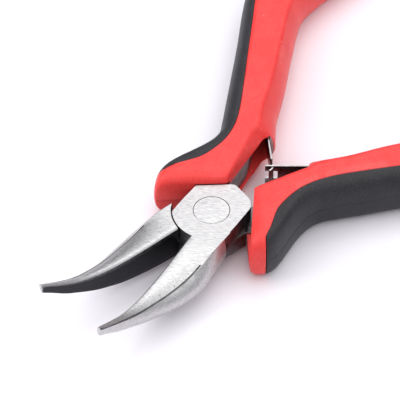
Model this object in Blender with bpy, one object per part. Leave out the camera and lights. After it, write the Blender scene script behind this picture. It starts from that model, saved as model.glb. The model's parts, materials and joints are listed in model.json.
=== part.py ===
"""Bent nose jewellery pliers with a lap joint and a pair of hooked leaf springs.

Lengths are in millimetres and become metres when a mesh is made.  Each half is
drawn as it stands with the jaws shut: its pivot on the Z axis, its handle
towards +Y on the -X side and its jaw towards -Y on the +X side.  The lower half
is the mirror image in X, with its half of the lap joint turned upside down.
"""
import math

import bmesh
import bpy
from mathutils import Vector

MM = 0.001

# driving dimensions
OPEN_ANGLE = 21.0            # between the halves when the springs hold them apart
PIVOT_FROM_MIDDLE = -25.3    # pivot axis, measured along Y from the middle of the whole tool
GRIP_THICKNESS = 11.0
STEEL_THICKNESS = 7.2
TANG_THICKNESS = 5.4
RIVET_RADIUS = 3.5
JOINT_RADIUS = 7.4           # round front shoulder of the lap plates
PLATE_SWEEP = 8.35           # cleared in each handle for the other half's plate
JAW_LENGTH = 37.8
LEAF_WIDTH = 4.8
LEAF_THICKNESS = 0.5
LEAF_REACH = 15.6            # spring clamp to the place where the two leaves cross
FIT_GAP = 0.3                # left between neighbouring pieces

# levels and clearances that follow from them
MID_LEVEL = GRIP_THICKNESS / 2
PLATE_TOP = MID_LEVEL + STEEL_THICKNESS / 2
PLATE_BOTTOM = MID_LEVEL - STEEL_THICKNESS / 2
JAW_CLEARANCE = 0.1          # from the centre plane to a jaw's inner face
SHOULDER_RADIUS = JOINT_RADIUS + 0.35
TANG_TOP = MID_LEVEL + TANG_THICKNESS / 2
TANG_BOTTOM = MID_LEVEL - TANG_THICKNESS / 2

# springs: where each leaf is riveted to its tang, and how it leans away from -Y
CLAMP = (-6.6, 29.8)
LEAF_LEAN = 37.5
FOOT_LEAN = 21.2
FOOT_LENGTH = 3.2
RIVET_SETBACK = 1.6          # spring rivet, behind the bend of the leaf
LEAF_BEYOND_CROSSING = 1.9
NECK_WIDTH = 1.2
NECK_BEHIND = 1.3            # neck and slot, measured from the crossing
NECK_AHEAD = 1.0
SLOT_WIDTH = 2.0
SLOT_BEHIND = 1.0

# jaw sections: distance ahead of the pivot, top and bottom measured from the
# plate top, width to the ridge, and how far the outer side bulges past it
JAW_SECTIONS = [
    (3.0, 0.0, -7.2, 5.5, 0.2),
    (8.0, 0.0, -7.2, 5.5, 1.0),
    (13.0, -0.5, -7.1, 5.1, 1.8),
    (17.0, -0.75, -6.9, 4.4, 1.8),
    (20.5, -0.85, -6.6, 3.6, 1.5),
    (23.5, -0.75, -5.9, 2.9, 1.1),
    (26.5, -0.35, -4.8, 2.3, 0.8),
    (29.6, 0.45, -3.2, 1.7, 0.5),
    (32.8, 1.85, -1.3, 1.25, 0.35),
    (36.0, 3.6, 1.2, 1.0, 0.2),
    (JAW_LENGTH, 4.6, 2.5, 0.85, 0.1),
]

# lap plate behind its round shoulder, going round by the back to the jaw
PLATE_BACK = [(-6.1, 0.0), (-5.9, 3.8), (0.2, 8.0), (4.0, 6.3), (5.7, 4.4)]

# lower web that joins the plate to the tang, inside the tang's thickness
WEB = [(-5.4, 3.0), (-6.9, 5.0), (-6.9, 7.5), (-1.7, 11.0), (-1.35, 9.0), (-0.6, 6.5)]

# tang inside the handle: inner edge outwards from the joint, then the outer edge back
TANG_INNER = [(-1.5, 9.5), (-1.9, 15.5), (-3.4, 20.0), (-9.8, 36.5), (-13.9, 46.0), (-17.6, 55.0),
              (-18.9, 62.0), (-18.3, 72.0)]
TANG_OUTER = [(-22.6, 72.0), (-22.9, 62.0), (-21.9, 55.0), (-18.2, 46.0), (-13.2, 36.5), (-9.2, 28.0),
              (-7.0, 21.0), (-6.0, 16.0), (-6.2, 10.0), (-6.9, 4.8)]

# hollow that the leaf bends in, open to the other handle up to the sleeve mouth
SPRING_HOLLOW = [(3.0, 8.0), (3.0, 23.0), (-1.2, 23.2), (-4.3, 27.5), (-5.3, 30.3), (-6.2, 33.3),
                 (-7.6, 36.0), (-10.5, 36.0), (-5.0, 22.0), (-3.4, 15.0), (-2.6, 8.0)]

# handle sections: inner point, outer point, width of the sloping flank, half thickness
GRIP_SECTIONS = [
    ((-0.85, 7.35), (-12.0, -0.25), 0.4, 2.6),
    ((-0.8, 7.6), (-12.6, -0.35), 0.45, 3.95),
    ((-0.8, 8.1), (-13.1, 0.1), 0.5, 4.75),
    ((-0.85, 10.0), (-13.9, 1.7), 0.7, 5.4),
    ((-0.9, 11.9), (-14.2, 2.9), 1.0, 5.5),
    ((-0.9, 13.8), (-14.05, 4.6), 1.4, 5.5),
    ((-0.9, 15.5), (-13.3, 6.7), 1.8, 5.5),
    ((-0.9, 17.2), (-12.15, 9.2), 2.1, 5.5),
    ((-0.9, 18.7), (-11, 12), 2.4, 5.5),
    ((-0.9, 20.3), (-10.15, 14.8), 2.7, 5.5),
    ((-0.9, 22), (-9.95, 17.4), 3, 5.5),
    ((-0.3, 23.4), (-10.45, 19.5), 3.5, 5.5),
    ((-0.9, 25), (-11.35, 21.6), 3.2, 5.5),
    ((-1.9, 26.8), (-12.4, 24), 3, 5.5),
    ((-3.5, 29.8), (-13.9, 27.3), 2.9, 5.5),
    ((-6.1, 37), (-16.3, 32.7), 3.1, 5.5),
    ((-10.5, 47.5), (-21, 43.1), 3.2, 5.5),
    ((-14.2, 57), (-25.8, 53.2), 3.2, 5.5),
    ((-15.1, 61.5), (-27.7, 58.5), 3.2, 5.5),
    ((-14.9, 66), (-28.4, 65.5), 3.2, 5.5),
    ((-13.9, 72), (-27.6, 73.5), 3.2, 5.5),
    ((-12.4, 79), (-25.4, 81.5), 3.2, 5.5),
    ((-11, 85.5), (-22.5, 88), 3, 5.4),
    ((-10.9, 88.4), (-20, 91), 2.4, 4.8),
    ((-11.9, 90.95), (-17.4, 92.46), 1.4, 3.4),
]

# boundary between the hard shell and the soft outer pad, from the guard to the end
PAD_EDGE = [(-17.0, -3.0), (-14.6, 0.9), (-12.9, 2.6), (-11.4, 5.1), (-9.9, 7.1), (-8.4, 9.3),
            (-7.5, 11.9), (-6.9, 15.2), (-7.0, 18.2), (-7.6, 21.1), (-8.9, 24.6), (-11.0, 29.1),
            (-15.3, 37.9), (-20.3, 48.2), (-23.4, 54.6), (-25.0, 60.0), (-25.3, 67.0), (-24.2, 76.0),
            (-21.6, 84.5), (-19.2, 90.0), (-17.0, 97.0)]


def clear_scene():
    for item in list(bpy.data.objects):
        bpy.data.objects.remove(item, do_unlink=True)


def make_material(name, colour, roughness, metallic):
    material = bpy.data.materials.new(name)
    material.use_nodes = True
    shader = material.node_tree.nodes["Principled BSDF"]
    shader.inputs["Base Color"].default_value = (*colour, 1.0)
    shader.inputs["Roughness"].default_value = roughness
    shader.inputs["Metallic"].default_value = metallic
    return material


def link_mesh(name, mesh_builder, material=None):
    mesh_builder.normal_update()
    bmesh.ops.recalc_face_normals(mesh_builder, faces=mesh_builder.faces)
    mesh = bpy.data.meshes.new(name)
    mesh_builder.to_mesh(mesh)
    mesh_builder.free()
    if material:
        mesh.materials.append(material)
    item = bpy.data.objects.new(name, mesh)
    bpy.context.collection.objects.link(item)
    return item


def loft(name, rings, material=None):
    """Skin a row of closed rings of equal length and cap both ends."""
    builder = bmesh.new()
    rows = [[builder.verts.new(Vector(point) * MM) for point in ring] for ring in rings]
    count = len(rows[0])
    for near, far in zip(rows, rows[1:]):
        for index in range(count):
            after = (index + 1) % count
            builder.faces.new((near[index], near[after], far[after], far[index]))
    builder.faces.new(rows[0])
    builder.faces.new(rows[-1])
    return link_mesh(name, builder, material)


def prism(name, outline, bottom, top, material=None):
    """Straight block over an outline in the XY plane."""
    rings = [[(x, y, level) for x, y in outline] for level in (bottom, top)]
    return loft(name, rings, material)


def disc(name, radius, bottom, top, material=None, sides=64):
    outline = arc((0.0, 0.0), radius, 0.0, 360.0 * (sides - 1) / sides, sides)
    return prism(name, outline, bottom, top, material)


def arc(centre, radius, start, end, count):
    points = []
    for step in range(count):
        angle = math.radians(start + (end - start) * step / (count - 1))
        points.append((centre[0] + radius * math.cos(angle), centre[1] + radius * math.sin(angle)))
    return points


def mirrored(points, side):
    """Points of one half, or of the other half when side is -1."""
    return [(side * point[0], *point[1:]) for point in points]


def grown(outline, distance):
    """Move each corner of an outline outwards so that its edges shift by distance."""
    moved = []
    area = sum(a[0] * b[1] - b[0] * a[1] for a, b in zip(outline, outline[1:] + outline[:1]))
    turn = 1.0 if area > 0 else -1.0
    for index, point in enumerate(outline):
        corner = Vector(point)
        incoming = (corner - Vector(outline[index - 1])).normalized()
        outgoing = (Vector(outline[(index + 1) % len(outline)]) - corner).normalized()
        normal_in = Vector((incoming.y, -incoming.x)) * turn
        normal_out = Vector((outgoing.y, -outgoing.x)) * turn
        bisector = (normal_in + normal_out).normalized()
        corner += bisector * (distance / max(0.35, bisector.dot(normal_in)))
        moved.append((corner.x, corner.y))
    return moved


def combine(target, tool, operation):
    """Boolean modifier whose tool object is a hidden guide."""
    tool.hide_render = True
    tool.display_type = "WIRE"
    modifier = target.modifiers.new(tool.name, "BOOLEAN")
    modifier.operation = operation
    modifier.object = tool
    modifier.solver = "EXACT"
    tool.parent = target


def jaw_ring(section, side):
    ahead, top, bottom, ridge, bulge = section
    top += PLATE_TOP
    bottom += PLATE_TOP
    height = top - bottom
    inner = JAW_CLEARANCE
    bevel = min(0.35, 0.2 * ridge)
    profile = [
        (inner, bottom + bevel),
        (inner, top - bevel),
        (inner + bevel, top),
        (ridge, top - 0.02 * height),
        (ridge + 0.55 * bulge, top - 0.16 * height),
        (ridge + 0.9 * bulge, top - 0.36 * height),
        (ridge + bulge, top - 0.58 * height),
        (ridge + 0.75 * bulge, top - 0.82 * height),
        (ridge + 0.15 * bulge, bottom),
        (inner + bevel, bottom),
    ]
    return [(side * x, -ahead, z) for x, z in profile]


def grip_ring(section, side):
    """Closed section of a handle: sloping inner flank, flat faces, round outer side."""
    inner, outer, flank, half = section
    inner = Vector(inner)
    outer = Vector(outer)
    width = (outer - inner).length
    across = (outer - inner).normalized()
    round_depth = min(3.4, 0.3 * width)
    power = 0.8
    upper = [(0.12 * flank, 0.36 * half), (0.42 * flank, 0.68 * half), (flank, half),
             (width - round_depth, half)]
    for angle in (67.5, 45.0, 22.5):
        cosine = math.cos(math.radians(angle)) ** power
        sine = math.sin(math.radians(angle)) ** power
        upper.append((width - round_depth * (1.0 - cosine), half * sine))
    profile = [(0.0, 0.0)] + upper + [(width, 0.0)] + [(u, -z) for u, z in reversed(upper)]
    ring = []
    for along, level in profile:
        place = inner + across * along
        ring.append((side * place.x, place.y, MID_LEVEL + level))
    return ring


def make_lever(name, side, material):
    """One steel half: jaw, half-thickness lap plate and tang."""
    if side > 0:
        plate_levels = (MID_LEVEL + FIT_GAP / 2, PLATE_TOP)
        open_levels = (PLATE_BOTTOM - 2.0, MID_LEVEL + FIT_GAP / 2)
    else:
        plate_levels = (PLATE_BOTTOM, MID_LEVEL - FIT_GAP / 2)
        open_levels = (MID_LEVEL - FIT_GAP / 2, PLATE_TOP + 2.0)
    lever = loft(name, [jaw_ring(section, side) for section in JAW_SECTIONS], material)
    shoulder = disc(name + "_shoulder", SHOULDER_RADIUS, *open_levels)
    combine(lever, shoulder, "DIFFERENCE")
    front = arc((0.0, 0.0), JOINT_RADIUS, 318.0, 212.0, 22)
    plate = prism(name + "_plate", mirrored(front + PLATE_BACK, side), *plate_levels)
    combine(lever, plate, "UNION")
    web_levels = (plate_levels[0], TANG_TOP) if side > 0 else (TANG_BOTTOM, plate_levels[1])
    web = prism(name + "_web", mirrored(WEB, side), *web_levels)
    combine(lever, web, "UNION")
    tang = prism(name + "_tang", mirrored(TANG_INNER + TANG_OUTER, side), TANG_BOTTOM, TANG_TOP)
    combine(lever, tang, "UNION")
    bore = disc(name + "_bore", RIVET_RADIUS + FIT_GAP, PLATE_BOTTOM - 1.0, PLATE_TOP + 1.0)
    combine(lever, bore, "DIFFERENCE")
    seat = spring_rivet_hole(name + "_rivet_seat", side)
    combine(lever, seat, "DIFFERENCE")
    return lever


def spring_rod(name, stations, material=None, sides=24):
    """Round rod along +X, set back behind the clamp, from (distance, radius) stations."""
    rings = []
    for distance, radius in stations:
        circle = arc((RIVET_SETBACK, 0.0), radius, 0.0, 360.0 * (sides - 1) / sides, sides)
        rings.append([(distance, y, z) for y, z in circle])
    return loft(name, rings, material)


def spring_rivet_hole(name, side):
    hole = spring_rod(name, [(-2.1, 1.35), (1.5, 1.35)])
    place_at_clamp(hole, side, FOOT_LEAN)
    return hole


def place_at_clamp(item, side, lean):
    """Put a piece whose own axes are +X out of the tang and -Y towards the jaws at the clamp."""
    item.location = Vector((side * CLAMP[0], CLAMP[1], MID_LEVEL)) * MM
    if side > 0:
        item.rotation_euler = (0.0, 0.0, math.radians(lean))
    else:
        item.rotation_euler = (0.0, math.pi, -math.radians(lean))


def make_grip(prefix, side, shell_material, pad_material):
    """Hard moulded shell with its tang and spring pockets, and the soft outer pad."""
    rings = [grip_ring(section, side) for section in GRIP_SECTIONS]
    shell = loft(prefix + "_grip_shell", rings, shell_material)
    pad = loft(prefix + "_grip_pad", rings, pad_material)
    outside = [(-45.0, 97.0), (-45.0, -3.0)]
    apart = FIT_GAP / 2
    low, high = -1.0, GRIP_THICKNESS + 1.0
    pad_space = prism(prefix + "_pad_space", mirrored(grown(PAD_EDGE + outside, apart), side), low, high)
    pad_limit = prism(prefix + "_pad_limit", mirrored(grown(PAD_EDGE + outside, -apart), side), low, high)
    combine(shell, pad_space, "DIFFERENCE")
    combine(pad, pad_limit, "INTERSECT")
    tang_outline = grown(TANG_INNER + TANG_OUTER, FIT_GAP)
    pocket_levels = (TANG_BOTTOM - FIT_GAP, TANG_TOP + FIT_GAP)
    pocket = prism(prefix + "_tang_pocket", mirrored(tang_outline, side), *pocket_levels)
    plate_outline = grown([(-6.1, -6.0)] + PLATE_BACK + [(5.7, -6.0)], FIT_GAP)
    if side > 0:
        plate_levels = (MID_LEVEL - 0.4, PLATE_TOP + FIT_GAP)
    else:
        plate_levels = (PLATE_BOTTOM - FIT_GAP, MID_LEVEL + 0.4)
    plate_pocket = prism(prefix + "_plate_pocket", mirrored(plate_outline, side), *plate_levels)
    combine(pocket, plate_pocket, "UNION")
    swept_levels = (MID_LEVEL - 4.2, MID_LEVEL + 0.4) if side > 0 else (MID_LEVEL - 0.4, MID_LEVEL + 4.2)
    swept = disc(prefix + "_other_plate_sweep", PLATE_SWEEP, *swept_levels)
    combine(pocket, swept, "UNION")
    web_pocket = prism(prefix + "_web_pocket", mirrored(grown(WEB, FIT_GAP), side), *pocket_levels)
    combine(pocket, web_pocket, "UNION")
    hollow_half = LEAF_WIDTH / 2 + 0.55
    hollow_levels = (MID_LEVEL - hollow_half, MID_LEVEL + hollow_half)
    hollow = prism(prefix + "_spring_hollow", mirrored(SPRING_HOLLOW, side), *hollow_levels)
    combine(pocket, hollow, "UNION")
    combine(shell, pocket, "DIFFERENCE")
    return [shell, pad]


def make_leaf(name, side, material, forked):
    """Flat strip from its riveted foot to its slotted or necked tip."""
    foot_turn = math.radians(FOOT_LEAN - LEAF_LEAN)
    foot = Vector((-math.sin(foot_turn), math.cos(foot_turn))) * FOOT_LENGTH
    tip = -(LEAF_REACH + LEAF_BEYOND_CROSSING)
    half = LEAF_THICKNESS / 2
    near = (foot.x + half * math.cos(foot_turn), foot.y + half * math.sin(foot_turn))
    far = (foot.x - half * math.cos(foot_turn), foot.y - half * math.sin(foot_turn))
    outline = [near, (half, 0.0), (half, tip), (-half, tip), (-half, 0.0), far]
    leaf = prism(name, outline, -LEAF_WIDTH / 2, LEAF_WIDTH / 2, material)
    crossing = -LEAF_REACH
    if forked:
        slot_ends = (crossing + SLOT_BEHIND, tip - 1.0)
        around = [(-1.0, slot_ends[0]), (1.0, slot_ends[0]), (1.0, slot_ends[1]), (-1.0, slot_ends[1])]
        slot = prism(name + "_slot", around, -SLOT_WIDTH / 2, SLOT_WIDTH / 2)
        combine(leaf, slot, "DIFFERENCE")
    else:
        ends = (crossing + NECK_BEHIND, crossing - NECK_AHEAD)
        neck = [(-1.0, ends[0]), (1.0, ends[0]), (1.0, ends[1]), (-1.0, ends[1])]
        for label, sign in (("_notch_above", 1.0), ("_notch_below", -1.0)):
            notch = prism(name + label, neck, *sorted((sign * NECK_WIDTH / 2, sign * (LEAF_WIDTH / 2 + 1.0))))
            combine(leaf, notch, "DIFFERENCE")
    hole = spring_rod(name + "_hole", [(-1.0, 1.1), (1.0, 1.1)])
    hole.rotation_euler = (0.0, 0.0, foot_turn)
    combine(leaf, hole, "DIFFERENCE")
    place_at_clamp(leaf, side, LEAF_LEAN)
    return leaf


def make_spring_rivet(name, side, material):
    half = LEAF_THICKNESS / 2
    stations = [(-1.6, 0.8), (half + 0.12, 0.8), (half + 0.12, 1.25), (half + 0.42, 1.25), (half + 0.55, 0.9)]
    rivet = spring_rod(name, stations, material)
    place_at_clamp(rivet, side, FOOT_LEAN)
    return rivet


def main():
    clear_scene()
    steel = make_material("brushed_steel", (0.72, 0.71, 0.72), 0.35, 1.0)
    spring_steel = make_material("spring_steel", (0.55, 0.52, 0.52), 0.3, 1.0)
    red = make_material("red_moulding", (0.93, 0.12, 0.11), 0.45, 0.0)
    black = make_material("black_soft_grip", (0.035, 0.033, 0.04), 0.6, 0.0)

    halves = {}
    for name, side in (("upper_half", 1), ("lower_half", -1)):
        axis = bpy.data.objects.new(name + "_pivot", None)
        axis.location = Vector((0.0, PIVOT_FROM_MIDDLE, 0.0)) * MM
        axis.rotation_euler = (0.0, 0.0, math.radians(side * OPEN_ANGLE / 2))
        bpy.context.collection.objects.link(axis)
        halves[side] = axis

    groups = {
        1: [
            make_lever("upper_lever", 1, steel),
            *make_grip("left", 1, red, black),
            disc("pivot_rivet", RIVET_RADIUS, PLATE_BOTTOM, PLATE_TOP, steel),
            make_leaf("tee_leaf_spring", 1, spring_steel, False),
            make_spring_rivet("tee_spring_rivet", 1, spring_steel),
        ],
        -1: [
            make_lever("lower_lever", -1, steel),
            *make_grip("right", -1, red, black),
            make_leaf("forked_leaf_spring", -1, spring_steel, True),
            make_spring_rivet("forked_spring_rivet", -1, spring_steel),
        ],
    }
    for side, pieces in groups.items():
        for piece in pieces:
            piece.parent = halves[side]


main()
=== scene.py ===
import json
import math
import bmesh
import bpy
from mathutils import Matrix, Vector


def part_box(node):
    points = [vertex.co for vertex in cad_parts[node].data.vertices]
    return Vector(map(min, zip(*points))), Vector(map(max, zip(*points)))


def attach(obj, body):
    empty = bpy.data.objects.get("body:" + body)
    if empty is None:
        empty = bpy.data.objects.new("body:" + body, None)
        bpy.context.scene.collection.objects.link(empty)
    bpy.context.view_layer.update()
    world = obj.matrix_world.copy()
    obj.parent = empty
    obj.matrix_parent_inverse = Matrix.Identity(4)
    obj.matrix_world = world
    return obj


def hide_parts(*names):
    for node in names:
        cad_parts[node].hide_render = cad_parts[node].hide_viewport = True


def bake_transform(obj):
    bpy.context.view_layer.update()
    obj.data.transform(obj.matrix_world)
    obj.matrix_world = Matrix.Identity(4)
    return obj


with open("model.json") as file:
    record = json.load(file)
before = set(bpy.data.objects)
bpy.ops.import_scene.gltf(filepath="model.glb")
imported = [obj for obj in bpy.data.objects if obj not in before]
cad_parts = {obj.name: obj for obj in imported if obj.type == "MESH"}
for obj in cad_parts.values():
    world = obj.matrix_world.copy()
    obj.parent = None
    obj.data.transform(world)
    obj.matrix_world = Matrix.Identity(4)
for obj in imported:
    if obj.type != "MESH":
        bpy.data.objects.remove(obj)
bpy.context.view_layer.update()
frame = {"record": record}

mm = 0.001
pivotJoint = next(joint for joint in frame["record"]["behaviour"]["joints"] if joint["name"] == "pivot")
pivotPlace = Vector(pivotJoint["pos_m"])
halfOpen = math.radians(pivotJoint["range_deg"][1]) / 2   # each half's turn from the shut position
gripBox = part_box("left_grip_shell")
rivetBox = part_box("pivot_rivet")
midLevel = (gripBox[0].z + gripBox[1].z) / 2 / mm         # middle plane of the tool, in millimetres
plateTop = rivetBox[1].z / mm
plateBottom = rivetBox[0].z / mm
rivetRadius = (rivetBox[1].x - rivetBox[0].x) / 2 / mm
roundSides = 96                                           # flats round a large circle


# Each half is drawn in millimetres with the jaws shut and the pivot at the origin: handle towards
# -X, jaw towards +X, tip towards -Y. side is 1 for the upper half and -1 for the mirrored lower one.


def standOpen(side):
    # from the shut drawing to where a half rests, in metres
    turn = Matrix.Rotation(side * halfOpen, 4, "Z")
    place = Matrix.Translation((pivotPlace.x, pivotPlace.y, 0.0))
    return place @ turn @ Matrix.Diagonal((side * mm, mm, mm, 1.0))


def levelsOn(side, near, far):
    # two heights off the middle plane, above it for the upper half and below it for the lower
    return (midLevel + near, midLevel + far) if side > 0 else (midLevel - far, midLevel - near)


def smoothRows(rows, steps):
    # a smooth curve through rows of numbers, read at even steps; the first four columns set its pace
    lengths = [0.0]
    for before, after in zip(rows, rows[1:]):
        gap = math.sqrt(sum((b - a) ** 2 for a, b in zip(before[:4], after[:4])))
        lengths.append(lengths[-1] + max(gap, 1e-6) ** 0.75)
    slopes = []
    for i in range(len(rows)):
        lo, hi = max(i - 1, 0), min(i + 1, len(rows) - 1)
        slopes.append([(b - a) / (lengths[hi] - lengths[lo]) for a, b in zip(rows[lo], rows[hi])])
    out = []
    for i in range(len(rows) - 1):
        span = lengths[i + 1] - lengths[i]
        for k in range(steps):
            t = k / steps
            h00, h10 = 2 * t ** 3 - 3 * t ** 2 + 1, t ** 3 - 2 * t ** 2 + t
            h01, h11 = -2 * t ** 3 + 3 * t ** 2, t ** 3 - t ** 2
            out.append([h00 * a + h10 * span * ma + h01 * b + h11 * span * mb
                        for a, b, ma, mb in zip(rows[i], rows[i + 1], slopes[i], slopes[i + 1])])
    out.append(list(rows[-1]))
    return out


def roundCorner(before, corner, after, radius, segments):
    # quadratic fillet in place of a corner, kept under half of either side
    longest = 0.48
    corner = Vector(corner)
    toBefore, toAfter = Vector(before) - corner, Vector(after) - corner
    reach = min(radius, toBefore.length * longest, toAfter.length * longest)
    start, end = corner + toBefore.normalized() * reach, corner + toAfter.normalized() * reach
    points = []
    for k in range(segments + 1):
        t = k / segments
        points.append(start * (1 - t) ** 2 + corner * 2 * t * (1 - t) + end * t ** 2)
    return points


def roundOutline(corners):
    # closed outline from (x, y, radius) corners
    points = []
    for i, (x, y, radius) in enumerate(corners):
        before, after = corners[i - 1], corners[(i + 1) % len(corners)]
        if radius <= 0:
            points.append((x, y))
        else:
            for p in roundCorner(before[:2], (x, y), after[:2], radius, 5):
                points.append((p.x, p.y))
    return points


def arcPoints(radius, start, end, count):
    angles = [math.radians(start + (end - start) * k / (count - 1)) for k in range(count)]
    return [(radius * math.cos(a), radius * math.sin(a)) for a in angles]


def circlePoints(radius, count=roundSides):
    return arcPoints(radius, 0, 360 * (count - 1) / count, count)


def grownOutline(outline, distance):
    # closed outline moved outwards
    sharpest = 0.35   # sharper corners don't run out further than this allows
    area = sum(a[0] * b[1] - b[0] * a[1] for a, b in zip(outline, outline[1:] + outline[:1]))
    turn = 1.0 if area > 0 else -1.0
    moved = []
    for i, point in enumerate(outline):
        corner = Vector(point)
        came = (corner - Vector(outline[i - 1])).normalized()
        goes = (Vector(outline[(i + 1) % len(outline)]) - corner).normalized()
        sideA, sideB = Vector((came.y, -came.x)) * turn, Vector((goes.y, -goes.x)) * turn
        middle = (sideA + sideB).normalized()
        corner += middle * (distance / max(sharpest, middle.dot(sideA)))
        moved.append((corner.x, corner.y))
    return moved


def linkPiece(name, builder):
    mesh = bpy.data.meshes.new(name)
    builder.to_mesh(mesh)
    builder.free()
    piece = bpy.data.objects.new(name, mesh)
    bpy.context.scene.collection.objects.link(piece)
    return piece


def loftPiece(name, rings):
    builder = bmesh.new()
    rows = [[builder.verts.new(point) for point in ring] for ring in rings]
    count = len(rows[0])
    for near, far in zip(rows, rows[1:]):
        for i in range(count):
            j = (i + 1) % count
            builder.faces.new((near[i], near[j], far[j], far[i]))
    builder.faces.new(rows[0])
    builder.faces.new(rows[-1])
    bmesh.ops.remove_doubles(builder, verts=builder.verts, dist=1e-7)
    bmesh.ops.recalc_face_normals(builder, faces=builder.faces)
    return linkPiece(name, builder)


def prismPiece(name, outline, low, high):
    return loftPiece(name, [[(x, y, z) for x, y in outline] for z in (low, high)])


def bakeModifiers(piece):
    # turns what the modifiers make into the piece's own plain mesh
    view = bpy.context.evaluated_depsgraph_get()
    mesh = bpy.data.meshes.new_from_object(piece.evaluated_get(view))
    old = piece.data
    piece.modifiers.clear()
    piece.data = mesh
    bpy.data.meshes.remove(old)
    mesh.name = piece.name


def cutPiece(piece, tool, operation):
    mod = piece.modifiers.new("cut", "BOOLEAN")
    mod.operation = operation
    mod.solver = "EXACT"
    mod.object = tool
    bpy.context.view_layer.update()
    bakeModifiers(piece)
    bpy.data.objects.remove(tool, do_unlink=True)


def softenEdges(piece, width, angle):
    mod = piece.modifiers.new("soft edges", "BEVEL")
    mod.width = width
    mod.segments = 2
    mod.limit_method = "ANGLE"
    mod.angle_limit = math.radians(angle)
    mod.use_clamp_overlap = True
    mod.miter_outer = "MITER_ARC"
    bakeModifiers(piece)


def shadeRound(piece, angle):
    flatNormal, smallArea = 0.9998, 0.02 * mm ** 2
    piece.data.shade_smooth()
    piece.data.set_sharp_from_angle(angle=math.radians(angle))
    for face in piece.data.polygons:
        if abs(face.normal.z) > flatNormal and face.area > smallArea:
            face.use_smooth = False   # flat ground faces


def flipIfInside(piece):
    # turns the faces outwards if they all point inwards, as mirroring leaves them
    builder = bmesh.new()
    builder.from_mesh(piece.data)
    bmesh.ops.recalc_face_normals(builder, faces=builder.faces)
    if builder.calc_volume(signed=True) < 0:
        bmesh.ops.reverse_faces(builder, faces=builder.faces)
    builder.to_mesh(piece.data)
    builder.free()


def placePiece(piece, side, shadeAngle):
    # a drawn piece goes to where it rests
    piece.data.transform(standOpen(side))
    flipIfInside(piece)
    shadeRound(piece, shadeAngle)


def finishPiece(piece, node, body, materials):
    piece.data.materials.clear()
    for material in materials:
        piece.data.materials.append(material)
    if node:
        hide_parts(node)
    if body:
        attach(piece, body)


def paintFaces(piece, second):
    # the piece's second material goes on the faces marked in second
    for face, marked in zip(piece.data.polygons, second):
        face.material_index = 1 if marked else 0


def addNode(tree, kind, values=None, **settings):
    node = tree.nodes.new(kind)
    for name, value in settings.items():
        setattr(node, name, value)
    for name, value in (values or {}).items():
        node.inputs[name].default_value = value
    return node


def addMath(tree, operation, first, second, clamp=False):
    node = addNode(tree, "ShaderNodeMath", operation=operation, use_clamp=clamp)
    for socket, value in zip(node.inputs, (first, second)):
        if isinstance(value, bpy.types.NodeSocket):
            tree.links.new(value, socket)
        else:
            socket.default_value = value
    return node.outputs[0]


def addRamp(tree, source, stops):
    ramp = addNode(tree, "ShaderNodeValToRGB")
    elements = ramp.color_ramp.elements
    while len(elements) < len(stops):
        elements.new(0.5)
    for element, (position, colour) in zip(elements, stops):
        element.position = position
        element.color = (*colour, 1.0)
    tree.links.new(source, ramp.inputs[0])
    return ramp.outputs[0]


def addMix(tree, amount, first, second):
    # amount is a socket, the colours are sockets or plain triples
    node = addNode(tree, "ShaderNodeMix", data_type="RGBA")
    for index, value in ((0, amount), (6, first), (7, second)):
        if isinstance(value, bpy.types.NodeSocket):
            tree.links.new(value, node.inputs[index])
        else:
            node.inputs[index].default_value = (*value, 1.0)
    return node.outputs[2]


def addScaledNoise(tree, place, scale, factor, detail, roughness):
    noise = addNode(tree, "ShaderNodeTexNoise", {"Detail": detail, "Roughness": roughness})
    tree.links.new(place, noise.inputs["Vector"])
    tree.links.new(addMath(tree, "MULTIPLY", scale, factor), noise.inputs["Scale"])
    return noise.outputs["Fac"]


def addScaledCells(tree, place, scale, factor):
    # cells with a random colour each
    cells = addNode(tree, "ShaderNodeTexVoronoi", {"Randomness": 1.0})
    tree.links.new(place, cells.inputs["Vector"])
    tree.links.new(addMath(tree, "MULTIPLY", scale, factor), cells.inputs["Scale"])
    split = addNode(tree, "ShaderNodeSeparateColor")
    tree.links.new(cells.outputs["Color"], split.inputs[0])
    return cells.outputs["Distance"], split.outputs


def startGroup(name, inputs, outputs):
    tree = bpy.data.node_groups.new(name, "ShaderNodeTree")
    for label, value in inputs.items():
        socket = tree.interface.new_socket(name=label, in_out="INPUT", socket_type="NodeSocketFloat")
        socket.default_value = value
    for label in outputs:
        tree.interface.new_socket(name=label, in_out="OUTPUT", socket_type="NodeSocketFloat")
    return tree, addNode(tree, "NodeGroupInput"), addNode(tree, "NodeGroupOutput")


grainShape = {"fine": 4300.0, "broad": 260.0, "specks": 900.0, "speckRadius": 0.16}
groundShape = {
    # stretch along the lines, scale, detail
    "Height": ((0.1, 1.0, 1.0), 5200.0, 2.0),
    "Tone": ((0.13, 1.0, 1.0), 3300.0, 3.0),
    "Patches": ((0.7, 1.0, 1.0), 420.0, 4.0),
    "pits": 1300.0,
    "pitRadius": 0.3,
}
edgeMaskShape = {"noise": 900.0, "breaks": 1.6}


def buildGrainGroup():
    # fine moulded grain: a height for the bump, a broad tone and a mask of paler specks
    tree, source, sink = startGroup("moulded grain", {"Scale": 1.0, "Specks": 0.5},
                                    ["Height", "Tone", "Specks"])
    place = addNode(tree, "ShaderNodeTexCoord").outputs["Object"]
    scale = source.outputs["Scale"]
    for factor, detail, target in ((grainShape["fine"], 2.0, "Height"), (grainShape["broad"], 4.0, "Tone")):
        tree.links.new(addScaledNoise(tree, place, scale, factor, detail, 0.6), sink.inputs[target])
    distance, random = addScaledCells(tree, place, scale, grainShape["specks"])
    near = addMath(tree, "LESS_THAN", distance, grainShape["speckRadius"])
    chosen = addMath(tree, "LESS_THAN", random[0], source.outputs["Specks"])
    tree.links.new(addMath(tree, "MULTIPLY", near, chosen), sink.inputs["Specks"])
    return tree


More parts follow.
